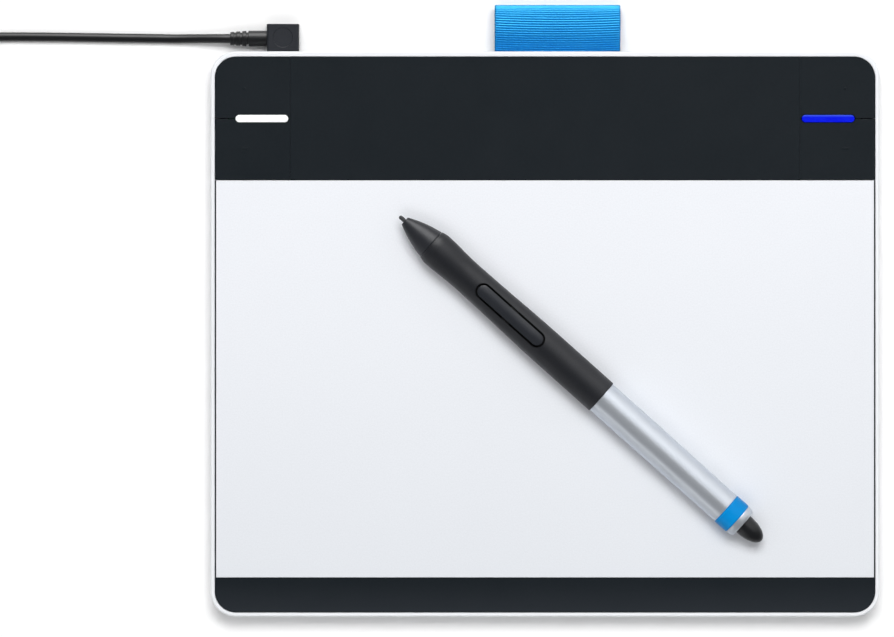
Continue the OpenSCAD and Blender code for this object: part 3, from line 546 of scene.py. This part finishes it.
def make_lead(material, tie):
    """One round cord from the plug's relief through the coil to the far plug."""
    route = smooth_route(LEAD_ROUTE, ROUTE_STEPS) + coil_points() + smooth_route(TAIL_ROUTE, ROUTE_STEPS)
    data = bpy.data.curves.new("lead", "CURVE")
    data.dimensions = "3D"
    data.bevel_depth = LEAD_R
    data.bevel_resolution = 5
    data.use_fill_caps = True
    line = data.splines.new("POLY")
    line.points.add(len(route) - 1)
    for point, place in zip(line.points, route):
        point.co = (*place, 1)
    line.use_smooth = True
    data.materials.append(material)
    lead = bpy.data.objects.new("lead", data)
    bpy.context.scene.collection.objects.link(lead)
    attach(lead, "lead")
    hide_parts("lead_run", "lead_coil", "lead_tail")


def make_tie(material):
    """A hook-and-loop strap round one side of the coil, whose free end laps over on top."""
    low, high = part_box("coil_tie")
    centre = (low + high) / 2
    wide, tall = (high.x - low.x) / 2, (high.z - low.z) / 2
    half = (high.y - low.y) / 2
    corner = STRAP_CORNER
    line = []
    # From the lap's inner end on top, round the outside, beneath and back over itself
    for cx, cz, first in ((1, 1, 90), (1, -1, 0), (-1, -1, -90), (-1, 1, -180)):
        for k in range(9):
            a = math.radians(first - 90 * k / 8)
            line.append(Vector((cx * (wide - corner) + corner * math.cos(a),
                                cz * (tall - corner) + corner * math.sin(a))))
    inner_end = Vector((-wide * 0.55, tall - 0.02 * MM))
    lap = [Vector((-wide * 0.45, tall + 0.25 * MM)), Vector((-wide * 0.2, tall + STRAP)),
           Vector((wide * 0.35, tall + STRAP)), Vector((wide * 0.75, tall + 1.15 * STRAP))]
    path = resample([inner_end] + line + lap, 0.25 * MM)
    rows = [(-half, 0.3), (-half + 0.25 * MM, 1.0), (half - 0.25 * MM, 1.0), (half, 0.3)]
    points = []
    for place, out, _ in path:
        for y, full in rows:
            points.append(place_in(centre, place - out * STRAP * (0.5 - 0.5 * full), y))
        for y, full in reversed(rows):
            points.append(place_in(centre, place - out * STRAP * (0.5 + 0.5 * full), y))
    columns = 2 * len(rows)
    faces = grid_faces(len(path), columns, wrap_columns=True)
    faces += [tuple(range(columns)), tuple(range((len(path) - 1) * columns, len(path) * columns))]
    strap = mesh_object("coil_tie_strap", points, faces, material)
    clean(strap)
    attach(strap, "lead")
    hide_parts("coil_tie")
    return strap


def place_in(centre, flat, y):
    """A point of a strap's outline, given across and up, at y along the coil's turns."""
    return Vector((centre.x + flat.x, centre.y + y, centre.z + flat.y))


# ---------------------------------------------------------------- the pen loop

LOOP_LOW, LOOP_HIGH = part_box("pen_loop")
RIB_PITCH = 0.80 * MM
RIB_DEPTH = 0.30 * MM
RIB_BOW = 0.45 * MM
RIBBON = 0.8 * MM
BAND_IN = 3.0 * MM      # how far the band runs on inside the case
SELVEDGE = 0.5 * MM
RISE_STEPS = 16         # points of the band's way from the slot to the round
ROUND_STEPS = 32        # and of the round itself
RIB_FULLNESS = 0.7      # under 1 the ribs are broader than the grooves
UNDER_SIDE = 0.86       # where the band's under side lies, as a share of its thickness


def make_loop(material):
    """The ribbed webbing: one band that leaves the slot, turns round at the back and comes in again."""
    back = CASE_HIGH.y
    slot_z = (LOOP_LOW.z + LOOP_HIGH.z) / 2
    reach = LOOP_HIGH.y - back
    radius = (LOOP_HIGH.z - LOOP_LOW.z) / 2 - RIB_DEPTH / 2
    middle = reach - radius - RIB_DEPTH / 2
    # The band's outer line, from inside the slot, over the top, round the back and home below
    rise = [Vector((middle * k / RISE_STEPS,
                    RIBBON + (radius - RIBBON) * math.sin(math.pi / 2 * k / RISE_STEPS)))
            for k in range(RISE_STEPS)]
    line = [Vector((-BAND_IN, RIBBON))] + rise
    for k in range(ROUND_STEPS + 1):
        a = math.pi / 2 - math.pi * k / ROUND_STEPS
        line.append(Vector((middle + radius * math.cos(a), radius * math.sin(a))))
    line += [Vector((p.x, -p.y)) for p in reversed(rise)] + [Vector((-BAND_IN, -RIBBON))]
    section = resample(line, RIB_PITCH / 10)
    half = (LOOP_HIGH.x - LOOP_LOW.x) / 2
    centre_x = (LOOP_HIGH.x + LOOP_LOW.x) / 2
    # Across the band: the selvedge thins and rounds over towards each side
    stations = [(-half, 0.25), (-half + 0.12 * MM, 0.62), (-half + SELVEDGE * 0.5, 0.88),
                (-half + SELVEDGE, 1.0)]
    stations += [(x / 12 * half, 1.0) for x in range(-11, 12)]
    stations += [(-x, full) for x, full in reversed(stations[:4])]
    points = []
    for x, full in stations:
        bow = RIB_BOW * (1 - (x / half) ** 2)
        for place, out, run in section:
            wave = abs(math.sin(math.pi * (run + bow) / RIB_PITCH)) ** RIB_FULLNESS
            top = place + out * (RIB_DEPTH * (wave - 0.5))
            under = place - out * (RIBBON * UNDER_SIDE - RIB_DEPTH * 0.5 * wave)
            mid = (top + under) / 2
            for side in (top, under):
                q = mid + (side - mid) * full
                points.append(Vector((centre_x + x, back + q.x, slot_z + q.y)))
    columns = len(section) * 2
    faces = []
    for i in range(len(stations) - 1):
        for j in range(len(section) - 1):
            for side in (0, 1):
                a = i * columns + 2 * j + side
                faces.append((a, a + 2, a + 2 + columns, a + columns))
    for i in (0, len(stations) - 1):
        for j in range(len(section) - 1):
            a = i * columns + 2 * j
            faces.append((a, a + 1, a + 3, a + 2))
    for j in (0, len(section) - 1):
        for i in range(len(stations) - 1):
            a = i * columns + 2 * j
            faces.append((a, a + 1, a + 1 + columns, a + columns))
    loop = mesh_object("loop_webbing", points, faces, material)
    clean(loop)
    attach(loop, "tablet")
    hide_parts("pen_loop")


NORMAL_REACH = 5        # points on each side that a normal is averaged over


def resample(line, step):
    """Points every step along a line, each with its outward normal and the distance run."""
    runs = [0.0]
    for a, b in zip(line, line[1:]):
        runs.append(runs[-1] + (b - a).length)
    count = int(runs[-1] / step)
    made = []
    i = 0
    for k in range(count + 1):
        run = runs[-1] * k / count
        while i < len(runs) - 2 and runs[i + 1] < run:
            i += 1
        t = (run - runs[i]) / (runs[i + 1] - runs[i])
        along = (line[i + 1] - line[i]).normalized()
        made.append([line[i].lerp(line[i + 1], t), Vector((-along.y, along.x)), run])
    # Normals are averaged over a few points, so that the band bends softly at the slot
    smoothed = []
    for k in range(len(made)):
        near = made[max(0, k - NORMAL_REACH):k + NORMAL_REACH + 1]
        out = sum((n[1] for n in near), Vector((0.0, 0.0))).normalized()
        smoothed.append((made[k][0], out, made[k][2]))
    return smoothed


# ---------------------------------------------------------------- put together

# Width of the rounding on the hard edges of the nodes that show
SOFT_EDGES = {
    "top_frame": 0.05 * MM, "key_back_left": 0.03 * MM, "key_front_left": 0.03 * MM,
    "key_back_right": 0.03 * MM, "key_front_right": 0.03 * MM, "drawing_sheet": 0.2 * MM,
    "light_left": 0.2 * MM, "light_right": 0.2 * MM, "plug_body": 0.35 * MM, "far_plug_body": 0.8 * MM,
    "rubber_feet": 0.3 * MM, "plug_relief": 0.12 * MM, "far_plug_relief": 0.12 * MM, "pen_grip": 0.08 * MM,
    "side_switch": 0.12 * MM, "pen_cone": 0.14 * MM, "pen_barrel": 0.10 * MM, "pen_collar": 0.15 * MM,
    "pen_ring": 0.10 * MM,
}
FLOOR_HALF = 4.0


def dress(looks):
    """Gives each CAD node that stays its material, and rounds the edges that show."""
    for name, node in NODES.items():
        if name in looks:
            node.data.materials.clear()
            node.data.materials.append(looks[name])
    for name, width in SOFT_EDGES.items():
        soften(NODES[name], width, 3)


def make_floor():
    """A plain pale table, wide enough to fill every view."""
    half = FLOOR_HALF
    floor_look = Look("floor", (0.98, 0.98, 0.98), 0.8, Specular_IOR_Level=0.1)
    floor_look.mottle(0.35, (0.965, 0.965, 0.97), 0.3)
    floor = mesh_object("floor", [(-half, -half, 0), (half, -half, 0), (half, half, 0), (-half, half, 0)],
                        [(0, 1, 2, 3)], floor_look.material, smooth=False)


make_camera()
make_light()
make_floor()
looks = make_looks()
make_lead(looks["lead"], make_tie(looks["coil_tie"]))
make_loop(webbing_look((LOOP_LOW.x + LOOP_HIGH.x) / 2, (LOOP_HIGH.x - LOOP_LOW.x) / 2))
dress(looks)
